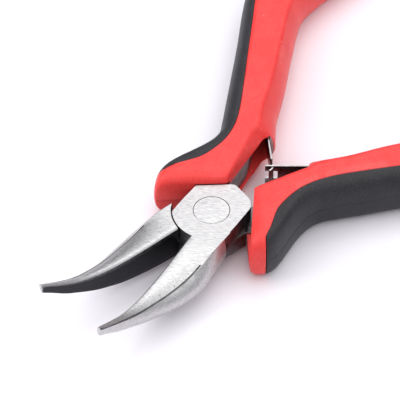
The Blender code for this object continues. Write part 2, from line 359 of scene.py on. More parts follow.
def buildGroundGroup():
    # parallel lines left by a grinding belt, turned by Turn about Z and broken up along their length
    tree, source, sink = startGroup("ground lines", {"Turn": 0.0, "Fineness": 1.0, "Pits": 0.1},
                                    ["Height", "Tone", "Patches", "Pits"])
    place = addNode(tree, "ShaderNodeTexCoord").outputs["Object"]
    fineness = source.outputs["Fineness"]
    turned = addNode(tree, "ShaderNodeVectorRotate", rotation_type="Z_AXIS")
    tree.links.new(place, turned.inputs["Vector"])
    tree.links.new(source.outputs["Turn"], turned.inputs["Angle"])
    for target in ("Height", "Tone", "Patches"):
        stretch, factor, detail = groundShape[target]
        mapping = addNode(tree, "ShaderNodeMapping", {"Scale": stretch})
        tree.links.new(turned.outputs[0], mapping.inputs["Vector"])
        noise = addScaledNoise(tree, mapping.outputs[0], fineness, factor, detail, 0.65)
        tree.links.new(noise, sink.inputs[target])
    distance, random = addScaledCells(tree, place, fineness, groundShape["pits"])
    chosen = addMath(tree, "LESS_THAN", random[0], source.outputs["Pits"])
    reach = addMath(tree, "MULTIPLY", random[1], groundShape["pitRadius"])
    spot = addMath(tree, "LESS_THAN", distance, reach)
    tree.links.new(addMath(tree, "MULTIPLY", chosen, spot), sink.inputs["Pits"])
    return tree


def buildEdgeMaskGroup():
    # picks out raised edges, broken up by noise
    tree, source, sink = startGroup("edge wear and glint", {"Start": 0.52, "Width": 0.08}, ["Mask"])
    sharp = addNode(tree, "ShaderNodeNewGeometry").outputs["Pointiness"]
    above = addMath(tree, "SUBTRACT", sharp, source.outputs["Start"])
    past = addMath(tree, "DIVIDE", above, source.outputs["Width"], clamp=True)
    place = addNode(tree, "ShaderNodeTexCoord").outputs["Object"]
    noise = addNode(tree, "ShaderNodeTexNoise", {"Scale": edgeMaskShape["noise"], "Detail": 4.0})
    tree.links.new(place, noise.inputs["Vector"])
    patches = addMath(tree, "MULTIPLY", noise.outputs["Fac"], edgeMaskShape["breaks"], clamp=True)
    tree.links.new(addMath(tree, "MULTIPLY", past, patches), sink.inputs["Mask"])
    return tree


grainGroup = buildGrainGroup()
groundGroup = buildGroundGroup()
edgeMaskGroup = buildEdgeMaskGroup()


def startMaterial(name, sockets):
    material = bpy.data.materials.new(name)
    material.use_nodes = True
    tree = material.node_tree
    shader = tree.nodes["Principled BSDF"]
    for label, value in sockets.items():
        shader.inputs[label].default_value = value
    return material, tree, shader


def placeGroup(tree, group, values):
    node = addNode(tree, "ShaderNodeGroup")
    node.node_tree = group
    for label, value in values.items():
        node.inputs[label].default_value = value
    return node


def addSurface(tree, shader, tone, height, look):
    # roughness follows the tone and the bump follows the height
    rough = addNode(tree, "ShaderNodeMapRange", {"To Min": look["smoothest"], "To Max": look["roughest"]})
    tree.links.new(tone, rough.inputs["Value"])
    tree.links.new(rough.outputs[0], shader.inputs["Roughness"])
    bump = addNode(tree, "ShaderNodeBump", {"Strength": look["bump"], "Distance": look["bumpDepth"]})
    tree.links.new(height, bump.inputs["Height"])
    tree.links.new(bump.outputs[0], shader.inputs["Normal"])


def addShare(tree, mask, share):
    return addMath(tree, "MULTIPLY", mask, share)


def makeSteel(name, look):
    material, tree, shader = startMaterial(name, {"Metallic": 1.0, "Specular IOR Level": 0.5})
    lines = placeGroup(tree, groundGroup, {"Turn": look["turn"], "Fineness": look["fineness"],
                                           "Pits": look["pits"]}).outputs
    wearAndGlint = placeGroup(tree, edgeMaskGroup, {"Start": look["edgeMaskStart"], "Width": look["edgeMaskWidth"]}).outputs[0]
    colour = addRamp(tree, lines["Tone"], [(0.3, look["dark"]), (0.7, look["light"])])
    colour = addMix(tree, addShare(tree, lines["Patches"], look["patches"]), colour, look["stain"])
    colour = addMix(tree, addShare(tree, lines["Pits"], look["pitShare"]), colour, look["pitColour"])
    # edge mask towards the rub colour: wear on most finishes, and on the spring strip a painted highlight
    # along its edges
    colour = addMix(tree, addShare(tree, wearAndGlint, look["wearAndGlint"]), colour, look["rubAndGlint"])
    tree.links.new(colour, shader.inputs["Base Color"])
    addSurface(tree, shader, lines["Tone"], lines["Height"], look)
    return material


def makeMoulding(name, look):
    material, tree, shader = startMaterial(name, {"Specular IOR Level": look["gloss"], "IOR": 1.48,
                                                  "Sheen Weight": look["sheen"], "Sheen Roughness": 0.5})
    grain = placeGroup(tree, grainGroup, {"Scale": look["scale"], "Specks": look["specks"]}).outputs
    wearAndGlint = placeGroup(tree, edgeMaskGroup, {"Start": look["edgeMaskStart"], "Width": look["edgeMaskWidth"]}).outputs[0]
    colour = addRamp(tree, grain["Tone"], [(0.35, look["dark"]), (0.65, look["light"])])
    fine = addRamp(tree, grain["Height"], [(0.42, (0.0, 0.0, 0.0)), (0.66, (1.0, 1.0, 1.0))])
    colour = addMix(tree, addShare(tree, fine, look["grain"]), colour, look["rubAndGlint"])
    colour = addMix(tree, addShare(tree, grain["Specks"], look["fleckShare"]), colour, look["fleck"])
    colour = addMix(tree, addShare(tree, wearAndGlint, look["wearAndGlint"]), colour, look["rubAndGlint"])
    tree.links.new(colour, shader.inputs["Base Color"])
    addSurface(tree, shader, grain["Height"], grain["Height"], look)
    return material


steelLook = {
    "turn": math.radians(-35), "fineness": 1.8, "pits": 0.12, "pitShare": 0.8, "patches": 0.25,
    "dark": (0.4, 0.39, 0.4), "light": (0.79, 0.79, 0.79), "stain": (0.42, 0.39, 0.38),
    "pitColour": (0.08, 0.07, 0.07), "rubAndGlint": (0.93, 0.93, 0.93),
    "wearAndGlint": 0.0, "edgeMaskStart": 0.53, "edgeMaskWidth": 0.06,
    "smoothest": 0.34, "roughest": 0.52, "bump": 0.5, "bumpDepth": 0.00004,
}
rivetLook = dict(steelLook, patches=0.15, wearAndGlint=0.2)
scaleLook = dict(
    steelLook, turn=math.radians(80), pits=0.03, wearAndGlint=0.2, smoothest=0.34, roughest=0.5, bump=0.15,
    dark=(0.026, 0.026, 0.031), light=(0.046, 0.045, 0.052), stain=(0.02, 0.02, 0.022),
)
# dark brown spring strip; its edge wear amount with the near-white rub colour is a painted highlight along
# its edges
springLook = dict(
    steelLook, turn=math.radians(45), wearAndGlint=0.3, smoothest=0.2, roughest=0.34, bump=0.12,
    dark=(0.1, 0.062, 0.06), light=(0.17, 0.11, 0.105), stain=(0.07, 0.04, 0.04),
)
redLook = {
    "gloss": 0.4, "sheen": 0.03, "grain": 0.3, "scale": 1.0, "specks": 0.06, "fleckShare": 0.5,
    "dark": (0.78, 0.03, 0.028), "light": (0.84, 0.045, 0.042),
    "fleck": (0.95, 0.35, 0.3), "rubAndGlint": (0.9, 0.14, 0.13),
    "wearAndGlint": 0.3, "edgeMaskStart": 0.54, "edgeMaskWidth": 0.1,
    "smoothest": 0.32, "roughest": 0.5, "bump": 0.4, "bumpDepth": 0.00006,
}
# the sleeve's cut end: a paler copy of the red, painted light standing in for the light that end face
# catches
mouthPaintedLightLook = dict(
    redLook, dark=(0.9, 0.62, 0.63), light=(0.98, 0.72, 0.73), fleck=(0.8, 0.6, 0.6), rubAndGlint=(0.7, 0.45, 0.45),
)
blackLook = dict(
    redLook, sheen=0.05, grain=0.22, specks=0.12, wearAndGlint=0.45, smoothest=0.45, roughest=0.65, bump=0.6,
    dark=(0.009, 0.008, 0.011), light=(0.015, 0.014, 0.018), fleck=(0.12, 0.12, 0.13), rubAndGlint=(0.1, 0.1, 0.11),
)
steelFinish = makeSteel("ground steel", steelLook)
scaleFinish = makeSteel("forging skin", scaleLook)
springFinish = makeSteel("spring strip", springLook)
rivetFinish = makeSteel("rivet steel", rivetLook)
redFinish = makeMoulding("red moulding", redLook)
blackFinish = makeMoulding("black soft moulding", blackLook)
mouthPaintedLightFinish = makeMoulding("red end with painted light", mouthPaintedLightLook)
print("finishes made")


gripShape = {
    # inner ridge x, y, outer side x, y, width of the sloping flank, half thickness
    "sections": [
        (-0.85, 7.35, -12.0, -0.25, 0.4, 2.6),
        (-0.8, 7.6, -12.6, -0.35, 0.45, 3.95),
        (-0.8, 8.1, -13.1, 0.1, 0.5, 4.75),
        (-0.8, 8.7, -13.4, 0.6, 0.6, 5.1),
        (-0.85, 10.0, -13.9, 1.7, 0.7, 5.42),
        (-0.9, 11.9, -14.2, 2.9, 1.0, 5.5),
        (-0.9, 13.8, -14.05, 4.6, 1.4, 5.5),
        (-0.9, 15.5, -13.3, 6.7, 1.8, 5.5),
        (-0.9, 17.2, -12.15, 9.2, 2.1, 5.5),
        (-0.9, 18.7, -11.0, 12.0, 2.4, 5.5),
        (-0.9, 20.3, -10.15, 14.8, 2.7, 5.5),
        (-0.9, 22.0, -9.95, 17.4, 3.0, 5.5),
        (-0.15, 23.5, -10.45, 19.5, 3.6, 5.5),
        (-0.9, 25.0, -11.35, 21.6, 3.2, 5.5),
        (-1.9, 26.8, -12.4, 24.0, 3.0, 5.5),
        (-3.5, 29.8, -13.9, 27.3, 2.6, 5.5),
        (-6.1, 37.0, -16.3, 32.7, 2.3, 5.5),
        (-10.5, 47.5, -21.0, 43.1, 2.1, 5.5),
        (-14.2, 57.0, -25.8, 53.2, 2.1, 5.5),
        (-15.1, 61.5, -27.7, 58.5, 2.1, 5.5),
        (-14.9, 66.0, -28.4, 65.5, 2.1, 5.5),
        (-13.9, 72.0, -27.6, 73.5, 2.1, 5.5),
        (-12.4, 79.0, -25.4, 81.5, 2.1, 5.5),
        (-11.0, 85.5, -22.5, 88.0, 2.1, 5.4),
        (-10.9, 88.4, -20.0, 91.0, 1.8, 4.8),
        (-11.9, 90.95, -17.4, 92.46, 1.4, 3.4),
        (-13.2, 91.75, -15.7, 92.4, 0.6, 1.6),
    ],
    "padEdge": [   # where the black pad meets the red shell
        (-18.0, 1.9), (-15.0, 2.3), (-13.3, 2.7), (-12.3, 3.5), (-11.4, 5.1), (-9.9, 7.1), (-8.4, 9.3),
        (-7.5, 11.9), (-6.9, 15.2), (-7.0, 18.2), (-7.6, 21.1), (-8.9, 24.6), (-11.0, 29.1),
        (-15.3, 37.9), (-20.3, 48.2), (-23.4, 54.6), (-25.0, 60.0), (-25.3, 67.0), (-24.2, 76.0),
        (-21.6, 84.5), (-19.2, 90.0), (-17.0, 97.0),
    ],
    "steps": 6,
    "ridgeHeight": 0.34,     # of the half thickness
    "ridgeRound": 1.8,
    "creaseRound": 0.8,
    "outerRound": 3.4,
    "outerShare": 0.3,       # of the width, the most the outer rounding takes
    "outerPower": 2.5,
    "seam": 0.05,
    "seamRound": 0.13,
    "thinnestPad": 0.25,
    "padPoints": 18,
    "sleeveRound": 0.16,
    "beadWidth": 0.26,
    "beadHeight": 0.1,
    "beadRound": 0.05,
    "beadSpacing": 0.6,
    "pocketFit": 0.06,       # round the half's own neck
    "lapOverlap": 0.3,       # the cuts run this far past the middle plane
    "sweepDepth": 4.2,
    "frontGap": 0.2,
    "frontDepth": 7.0,
    # cuts the guard's front straight, across the middle plane from the half's own plate
    "straightFront": [(-0.4, 10.0), (-12.7, -0.65), (-12.0, -8.0), (7.0, -5.0), (7.0, 10.0)],
    # the sleeve's cut end round the spring
    "mouthAlong": 23.1, "mouthReach": 0.5, "mouthHalf": 2.9, "mouthInner": -2.0,
    # angles in degrees: edges sharper than the first are rounded, faces within the others shade as one
    "softAngle": 40.0, "shellShade": 26.0, "padShade": 42.0, "beadShade": 40.0,
}
tangShape = {
    "inner": [(-1.5, 9.5), (-1.9, 15.5), (-3.4, 20.0), (-9.8, 36.5), (-13.9, 46.0), (-17.6, 55.0),
              (-18.9, 62.0), (-18.3, 72.0)],
    "outer": [(-22.6, 72.0), (-22.9, 62.0), (-21.9, 55.0), (-18.2, 46.0), (-13.2, 36.5), (-9.2, 28.0),
              (-7.0, 21.0), (-6.0, 16.0), (-6.2, 10.0), (-6.9, 4.8)],
    "half": 2.7,
    "fit": 0.25,
    "springHollow": [(3.0, 8.0), (3.0, 22.9), (-1.15, 23.3), (-4.3, 27.5), (-5.3, 30.3), (-6.2, 33.3),
                     (-7.6, 36.0), (-10.5, 36.0), (-5.0, 22.0), (-3.4, 15.0), (-2.6, 8.0)],
    "hollowHalf": 2.95,
}


def outerDepth(width, shape):
    return min(shape["outerRound"], shape["outerShare"] * width)


def outerReach(z, width, half, shape):
    # how far out the section goes at a height
    depth, power = outerDepth(width, shape), shape["outerPower"]
    ratio = min(1.0, abs(z) / half)
    return width - depth + depth * (1 - ratio ** power) ** (1 / power)


def outerHeight(u, width, half, shape):
    # how high the section is at a distance out
    depth, power = outerDepth(width, shape), shape["outerPower"]
    if u <= width - depth:
        return half
    ratio = min(1.0, (u - width + depth) / depth)
    return half * (1 - ratio ** power) ** (1 / power)


def edgeCrossing(inner, outer, edge):
    # how far along the line from inner to outer the pad's edge is met; past the end if it isn't
    shortest, longest = 0.2, 1.6
    across = outer - inner
    best = longest
    for a, b in zip(edge, edge[1:]):
        a, b = Vector(a[:2]), Vector(b[:2])
        run = b - a
        bottom = across.x * run.y - across.y * run.x
        if abs(bottom) < 1e-9:
            continue
        gap = a - inner
        along = (gap.x * run.y - gap.y * run.x) / bottom
        onEdge = (gap.x * across.y - gap.y * across.x) / bottom
        if 0.0 <= onEdge <= 1.0 and shortest < along < best:
            best = along
    return best * across.length


def shellHalf(width, flank, half, cut, shape):
    # upper half of a shell section, from the inner ridge to the pad's face or the outer side
    ridge, crease = (0.0, shape["ridgeHeight"] * half), (flank, half)
    points = [(0.0, 0.0)]
    for p in roundCorner((0.0, -ridge[1]), ridge, crease, shape["ridgeRound"], 5)[1:]:
        points.append((p.x, p.y))
    for p in roundCorner(ridge, crease, (width, half), shape["creaseRound"], 5):
        points.append((p.x, p.y))
    end = min(cut, width - outerDepth(width, shape))
    small = shape["seamRound"]
    start = points[-1][0]
    for part in (0.33, 0.66):
        points.append((start + (end - small - start) * part, half))
    points.append((end - small, half))
    low = half - small
    for k in range(9):
        z = low * math.cos(k / 8 * math.pi / 2)
        points.append((min(outerReach(z, width, half, shape), cut), z if k < 8 else 0.0))
    return points


def padHalf(width, half, cut, shape):
    # upper half of a pad section, from its face on the shell round to the outer side, evenly spaced
    small = min(shape["seamRound"], 0.3 * (width - cut))
    top = outerHeight(cut, width, half, shape)
    dense = [(cut, top - small), (cut + 0.3 * small, top - 0.3 * small)]
    steps, count = 60, shape["padPoints"]
    for k in range(steps + 1):
        u = cut + small + (width - cut - small) * (1 - (1 - k / steps) ** 2)
        dense.append((u, outerHeight(u, width, half, shape)))
    dense[-1] = (width, 0.0)
    lengths = [0.0]
    for a, b in zip(dense, dense[1:]):
        lengths.append(lengths[-1] + math.hypot(b[0] - a[0], b[1] - a[1]))
    points, i = [], 0
    for k in range(count):
        want = lengths[-1] * k / (count - 1)
        while i < len(dense) - 2 and lengths[i + 1] < want:
            i += 1
        t = (want - lengths[i]) / max(lengths[i + 1] - lengths[i], 1e-9)
        points.append(tuple(a + (b - a) * t for a, b in zip(dense[i], dense[i + 1])))
    points[1] = dense[1]
    return points


def gripRings(shape):
    # sections of the shell and the pad, and the line the pad's outer side follows
    edge = smoothRows(shape["padEdge"], shape["steps"])
    shellRings, padRings, outline = [], [], []
    for row in smoothRows(shape["sections"], shape["steps"]):
        inner, outer = Vector(row[:2]), Vector(row[2:4])
        flank, half = row[4], row[5]
        width = (outer - inner).length
        across = (outer - inner).normalized()
        cut = edgeCrossing(inner, outer, edge)

        def lay(points):
            return [(inner.x + across.x * u, inner.y + across.y * u, midLevel + z) for u, z in points]

        upper = shellHalf(width, flank, half, cut, shape)
        shellRings.append(lay(upper + [(u, -z) for u, z in reversed(upper[1:-1])]))
        face = cut + shape["seam"]
        if face < width - shape["thinnestPad"]:
            upper = padHalf(width, half, face, shape)
            lower = [(u, -z) for u, z in reversed(upper[:-1])]
            top = upper[0][1]
            back = [(face, -top + 2 * top * k / 5) for k in range(1, 5)]
            padRings.append(lay(upper + lower + back))
            outline.append((outer.x, outer.y))
    return shellRings, padRings, outline


def cutShell(shell, side):
    # room for the tang, the spring, the half's own neck and the other half's plate as it turns
    shape, tang = gripShape, tangShape
    depth = tang["half"] + tang["fit"]
    outline = grownOutline(tang["inner"] + tang["outer"], tang["fit"])
    pocket = prismPiece("tang pocket", outline, midLevel - depth, midLevel + depth)
    depth = tang["hollowHalf"]
    hollow = prismPiece("spring hollow", tang["springHollow"], midLevel - depth, midLevel + depth)
    cutPiece(pocket, hollow, "UNION")
    fit, overlap = shape["pocketFit"], shape["lapOverlap"]
    levels = (midLevel - overlap, plateTop + fit) if side > 0 else (plateBottom - fit, midLevel + overlap)
    cutPiece(pocket, prismPiece("neck pocket", grownOutline(leverShape["neck"], fit), *levels), "UNION")
    levels = levelsOn(-side, -overlap, shape["sweepDepth"])
    swept = circlePoints(leverShape["clearRadius"])
    cutPiece(pocket, prismPiece("other plate's sweep", swept, *levels), "UNION")
    levels = levelsOn(-side, shape["frontGap"], shape["frontDepth"])
    cutPiece(pocket, prismPiece("straight front", shape["straightFront"], *levels), "UNION")
    cutPiece(shell, pocket, "DIFFERENCE")
    softenEdges(shell, shape["sleeveRound"], shape["softAngle"])


def isMouth(place, normal):
    # the cut end of the sleeve that the spring comes out of
    shape = gripShape
    return (normal.y < -0.8 and abs(place.y - shape["mouthAlong"]) < shape["mouthReach"]
            and abs(place.z - midLevel) < shape["mouthHalf"] and place.x > shape["mouthInner"])


def makeGrip(prefix, side, body):
    shape = gripShape
    shellRings, padRings, outline = gripRings(shape)
    shell = loftPiece(prefix + "_handle_shell", shellRings)
    pad = loftPiece(prefix + "_handle_pad", padRings)
    cutShell(shell, side)
    flipIfInside(shell)
    # the cut end's faces get the paler red, painted light standing in for the light they catch
    paintedLightFaces = [isMouth(face.center, face.normal) for face in shell.data.polygons]
    placePiece(shell, side, shape["shellShade"])
    finishPiece(shell, prefix + "_grip_shell", body, [redFinish, mouthPaintedLightFinish])
    paintFaces(shell, paintedLightFaces)
    flipIfInside(pad)
    placePiece(pad, side, shape["padShade"])
    finishPiece(pad, prefix + "_grip_pad", body, [blackFinish])
    line = [(x, y, midLevel) for x, y in outline[2:-1]]
    bead = sweepStrip(prefix + "_pad_parting_line", line, shape["beadWidth"], shape["beadHeight"],
                      shape["beadRound"], blackFinish, shape["beadSpacing"])
    placePiece(bead, side, shape["beadShade"])
    finishPiece(bead, None, body, [blackFinish])


leverShape = {
    # ahead of the pivot, top and bottom (from the plate's top), width to the ridge, bulge past the ridge
    "jaw": [
        (3.0, 0.0, -7.5, 5.85, 0.3),
        (8.0, 0.0, -7.6, 5.6, 1.0),
        (13.0, -0.45, -7.6, 5.1, 1.8),
        (17.0, -0.75, -7.3, 4.4, 1.8),
        (20.5, -0.85, -6.8, 3.6, 1.5),
        (23.5, -0.75, -5.9, 2.9, 1.1),
        (26.5, -0.35, -4.8, 2.3, 0.8),
        (29.6, 0.45, -3.2, 1.7, 0.5),
        (32.8, 1.85, -1.3, 1.25, 0.35),
        (36.0, 3.6, 1.2, 1.0, 0.2),
        (37.8, 4.6, 2.5, 0.85, 0.1),
    ],
    "steps": 5,
    "flatUntil": 20.0,       # past this the top may rise above the plate
    "innerFace": 0.1,
    "bevel": 0.3, "bevelShare": 0.2,   # largest, and share of the width to the ridge
    "lip": 0.2, "lipShare": 0.12,
    "grooveDepth": 0.22,
    "grooveStart": (10.0, 16.0),
    "grooveStep": 0.03,      # the side starts this far below the groove's edge
    "crown": 1.0,
    "crownStart": (7.0, 17.0),
    "crownPower": 2.2,
    "crownWidth": 3.5,       # narrower jaws have less crown
    "swellAt": 0.55,         # where the side bulges most, of the way down
    "tuck": 0.25,            # how far the side comes back in at the bottom, of the width to the ridge
    # x, y, rounding; the front is an arc about the pivot
    "plate": [(-6.1, 0.0, 0.0), (-5.9, 3.8, 0.35), (0.2, 8.0, 0.8), (4.7, 6.2, 0.7), (5.95, 4.7, 0.8),
              (5.95, -1.0, 0.0)],
    "plateFront": (322.0, 214.0),
    "neck": [(-5.4, 3.0), (-6.9, 5.0), (-6.9, 7.5), (-1.7, 11.0), (-1.35, 9.0), (-0.6, 6.5)],
    "jointRadius": 7.4,
    "clearRadius": 8.2,
    "shoulderGap": 0.3,
    "lapGap": 0.06,
    "boreFit": 0.02,
    "past": 2.0,             # cutters run this far past the steel
    "edge": 0.13,
    "softAngle": 38.0,
    "shade": 19.0,
}
skinShape = {
    # limits of the dark skin: back from the pivot, in from the plate's own face, across the groove
    "tangStart": 8.3, "lapDepth": 0.2, "stepStart": 2.0, "stepDepth": 0.3,
    "sideStart": -3.2, "sideDepth": 0.25, "hubRadius": 7.9, "hubDepth": 0.2,
    "grooveFrom": 12.5, "grooveInner": -0.16, "grooveOuter": 0.1, "grooveDeep": 1.6,
    # how a face may lean: the upright part of its direction, and its part across the jaw
    "upright": 0.4, "level": 0.9, "gripLean": 0.6, "gripAcross": -0.1, "stepLean": 0.5,
}
jawRows = smoothRows(leverShape["jaw"], leverShape["steps"])


def smoothStep(value, low, high):
    t = min(1.0, max(0.0, (value - low) / (high - low)))
    return t * t * (3 - 2 * t)


def jawRing(row, shape):
    # one section: inner face, crowned top, groove past the ridge, bulging side, bottom
    ahead, top, bottom, ridge, bulge = row
    top = min(top, 0.0) if ahead < shape["flatUntil"] else top
    top, bottom = top + plateTop, bottom + plateTop
    tall = top - bottom
    inner = shape["innerFace"]
    bevel = min(shape["bevel"], shape["bevelShare"] * ridge)
    groove = shape["grooveDepth"] * smoothStep(ahead, *shape["grooveStart"])
    drop = shape["crown"] * smoothStep(ahead, *shape["crownStart"]) * min(1.0, ridge / shape["crownWidth"])
    outside = top - drop - 0.6 * groove - shape["grooveStep"]
    lip = min(shape["lip"], shape["lipShare"] * ridge)
    profile = [(inner, bottom + bevel)]
    for part in (0.25, 0.5, 0.75):
        profile.append((inner, bottom + bevel + (tall - 2 * bevel) * part))
    profile += [(inner, top - bevel), (inner + bevel, top)]
    for part in (0.2, 0.4, 0.6, 0.8):
        fall = drop * part ** shape["crownPower"]
        profile.append((inner + bevel + (ridge - lip - inner - bevel) * part, top - fall))
    profile += [(ridge - lip, top - drop), (ridge - 0.3 * lip, top - drop - groove),
                (ridge + 0.45 * lip, top - drop - 1.2 * groove), (ridge + lip, outside)]
    peak = shape["swellAt"]
    for k in range(1, 11):
        part = k / 10
        swell = 1 - ((peak - part) / peak) ** 2 if part < peak else 1 - ((part - peak) / (1 - peak)) ** 2.4
        x = ridge + lip * (1 - part) + bulge * swell - shape["tuck"] * ridge * part ** 4
        profile.append((max(inner + 2 * bevel, x), max(outside - (outside - bottom) * part, bottom)))
    profile.append((inner + bevel, bottom))
    return [(x, -ahead, z) for x, z in profile]


def isUnground(place, normal, side):
    # the forging's dark skin is left on the gripping faces, the lap faces, the shoulder and the tang
    skin, back, ahead = skinShape, place.y, -place.y
    depth = abs(place.z - (plateTop if side > 0 else plateBottom))
    lean = abs(normal.z)
    upright = lean < skin["upright"]
    if back > skin["tangStart"]:
        return True
    if lean > skin["level"] and abs(place.z - midLevel) < skin["lapDepth"]:
        return True
    if lean < skin["gripLean"] and normal.x < skin["gripAcross"]:
        return True
    if lean > skin["stepLean"] and back > skin["stepStart"] and depth > skin["stepDepth"]:
        return True
    if upright and back > skin["sideStart"] and depth > skin["sideDepth"]:
        return True
    if ahead > skin["grooveFrom"]:
        near, far = sorted(jawRows, key=lambda row: abs(row[0] - ahead))[:2]
        part = (ahead - near[0]) / (far[0] - near[0])
        ridge, top = (near[i] + (far[i] - near[i]) * part for i in (3, 1))
        inGroove = skin["grooveInner"] < place.x - ridge < skin["grooveOuter"]
        if inGroove and plateTop + top - place.z < skin["grooveDeep"]:
            return True
    return upright and math.hypot(place.x, place.y) < skin["hubRadius"] and depth > skin["hubDepth"]


def makeLever(name, side, node, body):
    shape, half = leverShape, tangShape["half"]
    lap = shape["lapGap"] / 2
    jaw = loftPiece(name, [jawRing(row, shape) for row in jawRows])
    low, high = plateBottom - shape["past"], plateTop + shape["past"]
    levels = (low, midLevel + lap) if side > 0 else (midLevel - lap, high)
    hollow = circlePoints(shape["jointRadius"] + shape["shoulderGap"])
    cutPiece(jaw, prismPiece("shoulder", hollow, *levels), "DIFFERENCE")
    levels = (midLevel + lap, plateTop) if side > 0 else (plateBottom, midLevel - lap)
    front = [(x, y, 0.0) for x, y in arcPoints(shape["jointRadius"], *shape["plateFront"], 40)]
    cutPiece(jaw, prismPiece("plate", roundOutline(front + shape["plate"]), *levels), "UNION")
    cutPiece(jaw, prismPiece("neck", shape["neck"], *levelsOn(side, lap, half)), "UNION")
    outline = tangShape["inner"] + tangShape["outer"]
    cutPiece(jaw, prismPiece("tang", outline, midLevel - half, midLevel + half), "UNION")
    bore = circlePoints(rivetRadius + shape["boreFit"])
    cutPiece(jaw, prismPiece("bore", bore, low, high), "DIFFERENCE")
    softenEdges(jaw, shape["edge"], shape["softAngle"])
    flipIfInside(jaw)
    unground = [isUnground(face.center, face.normal, side) for face in jaw.data.polygons]
    placePiece(jaw, side, shape["shade"])
    finishPiece(jaw, node, body, [steelFinish, scaleFinish])
    paintFaces(jaw, unground)


springShape = {
    "clamp": (-6.6, 29.8),   # the bend between the foot and the leaf
    "footLean": 21.2, "leafLean": 37.5, "footLength": 3.2, "bendRound": 1.2,
    "width": 4.8, "thickness": 0.38, "edgeRound": 0.1, "spacing": 0.25,
    "reach": 15.6,           # from the bend to where the two leaves hook together
    "beyond": 1.9,           # the forked leaf's tip past the hook
    "neckWidth": 1.2, "neckBehind": 1.3, "neckAhead": 0.95, "curlStart": 0.6, "curlRadius": 1.1,
    "curlTurn": 75.0, "slotWidth": 2.0, "slotBehind": 0.55, "slotAhead": 4.0,
    "bendBehind": 0.5, "bendAhead": 3.0,   # the part that bends, either side of the bend
    "shade": 35.0,
    # the rivet: back from the bend, then its rings as distance out from the foot and radius
    "setback": 1.6,
    "head": [(-1.2, 0.75), (0.24, 0.75), (0.25, 1.2), (0.42, 1.25), (0.6, 1.05), (0.7, 0.7), (0.73, 0.3)],
    "headSides": 32,
    "headShade": 30.0,
}


def buildStripTree():
    # sweeps a strip with rounded edges along the object's own line of points
    tree = bpy.data.node_groups.new("sprung strip", "GeometryNodeTree")
    tree.interface.new_socket(name="Geometry", in_out="INPUT", socket_type="NodeSocketGeometry")
    for label in ("Width", "Thickness", "Edge Radius", "Spacing"):
        tree.interface.new_socket(name=label, in_out="INPUT", socket_type="NodeSocketFloat")
    tree.interface.new_socket(name="Material", in_out="INPUT", socket_type="NodeSocketMaterial")
    tree.interface.new_socket(name="Geometry", in_out="OUTPUT", socket_type="NodeSocketGeometry")
    source, sink = addNode(tree, "NodeGroupInput"), addNode(tree, "NodeGroupOutput")
    line = addNode(tree, "GeometryNodeMeshToCurve")
    even = addNode(tree, "GeometryNodeResampleCurve", mode="LENGTH")
    normals = addNode(tree, "GeometryNodeSetCurveNormal", mode="Z_UP")
    section = addNode(tree, "GeometryNodeCurvePrimitiveQuadrilateral")
    rounded = addNode(tree, "GeometryNodeFilletCurve", {"Count": 3}, mode="POLY")
    sweep = addNode(tree, "GeometryNodeCurveToMesh", {"Fill Caps": True})
    finish = addNode(tree, "GeometryNodeSetMaterial")
    solid = addNode(tree, "GeometryNodeRealizeInstances")
    join = tree.links.new
    join(source.outputs["Geometry"], line.inputs["Mesh"])
    join(line.outputs[0], even.inputs["Curve"])
    join(source.outputs["Spacing"], even.inputs["Length"])
    join(even.outputs[0], normals.inputs["Curve"])
    join(source.outputs["Thickness"], section.inputs["Width"])
    join(source.outputs["Width"], section.inputs["Height"])
    join(section.outputs[0], rounded.inputs["Curve"])
    join(source.outputs["Edge Radius"], rounded.inputs["Radius"])
    join(normals.outputs[0], sweep.inputs["Curve"])
    join(rounded.outputs[0], sweep.inputs["Profile Curve"])
    join(sweep.outputs[0], solid.inputs[0])
    join(solid.outputs[0], finish.inputs["Geometry"])
    join(source.outputs["Material"], finish.inputs["Material"])
    join(finish.outputs[0], sink.inputs[0])
    return tree


stripTree = buildStripTree()


def sweepStrip(name, points, width, thickness, edge, material, spacing):
    builder = bmesh.new()
    verts = [builder.verts.new((x, y, z)) for x, y, z in points]
    for near, far in zip(verts, verts[1:]):
        builder.edges.new((near, far))
    piece = linkPiece(name, builder)
    mod = piece.modifiers.new("strip", "NODES")
    mod.node_group = stripTree
    values = {"Width": width, "Thickness": thickness, "Edge Radius": edge, "Spacing": spacing,
              "Material": material}
    for item in stripTree.interface.items_tree:
        if item.in_out == "INPUT" and item.name in values:
            mod[item.identifier] = values[item.name]
    bpy.context.view_layer.update()
    bakeModifiers(piece)
    builder = bmesh.new()
    builder.from_mesh(piece.data)
    bmesh.ops.remove_doubles(builder, verts=builder.verts, dist=1e-4)
    bmesh.ops.recalc_face_normals(builder, faces=builder.faces)
    builder.to_mesh(piece.data)
    builder.free()
    return piece


def footWay(shape):
    # along the foot, away from the bend
    lean = math.radians(shape["footLean"])
    return Vector((-math.sin(lean), math.cos(lean)))


def leafWay(shape):
    # along the leaf, away from the bend
    lean = math.radians(shape["leafLean"])
    return Vector((math.sin(lean), -math.cos(lean)))


def leafLine(shape, hooked):
    # from the riveted foot round the bend and out to the tip
    clamp, back, out = Vector(shape["clamp"]), footWay(shape), leafWay(shape)
    foot = clamp + back * shape["footLength"]
    points = [foot] + roundCorner(foot, clamp, clamp + out * 10.0, shape["bendRound"], 6)
    if not hooked:
        return points + [clamp + out * (shape["reach"] + shape["beyond"])]
    start = clamp + out * (shape["reach"] + shape["neckAhead"] * shape["curlStart"])
    points.append(start)
    radius, across = shape["curlRadius"], Vector((-out.y, out.x))
    for k in range(1, 9):
        turn = math.radians(shape["curlTurn"]) * k / 8
        points.append(start + out * radius * math.sin(turn) - across * radius * (1 - math.cos(turn)))
    return points


def acrossStrip(name, start, end, low, high, shape):
    # block through a leaf, from start to end along it and from low to high across its width
    clamp, out = Vector(shape["clamp"]), leafWay(shape)
    side = Vector((-out.y, out.x)) * 2.5
    near, far = clamp + out * start, clamp + out * end
    corners = [near - side, far - side, far + side, near + side]
    return prismPiece(name, [(c.x, c.y) for c in corners], midLevel + low, midLevel + high)


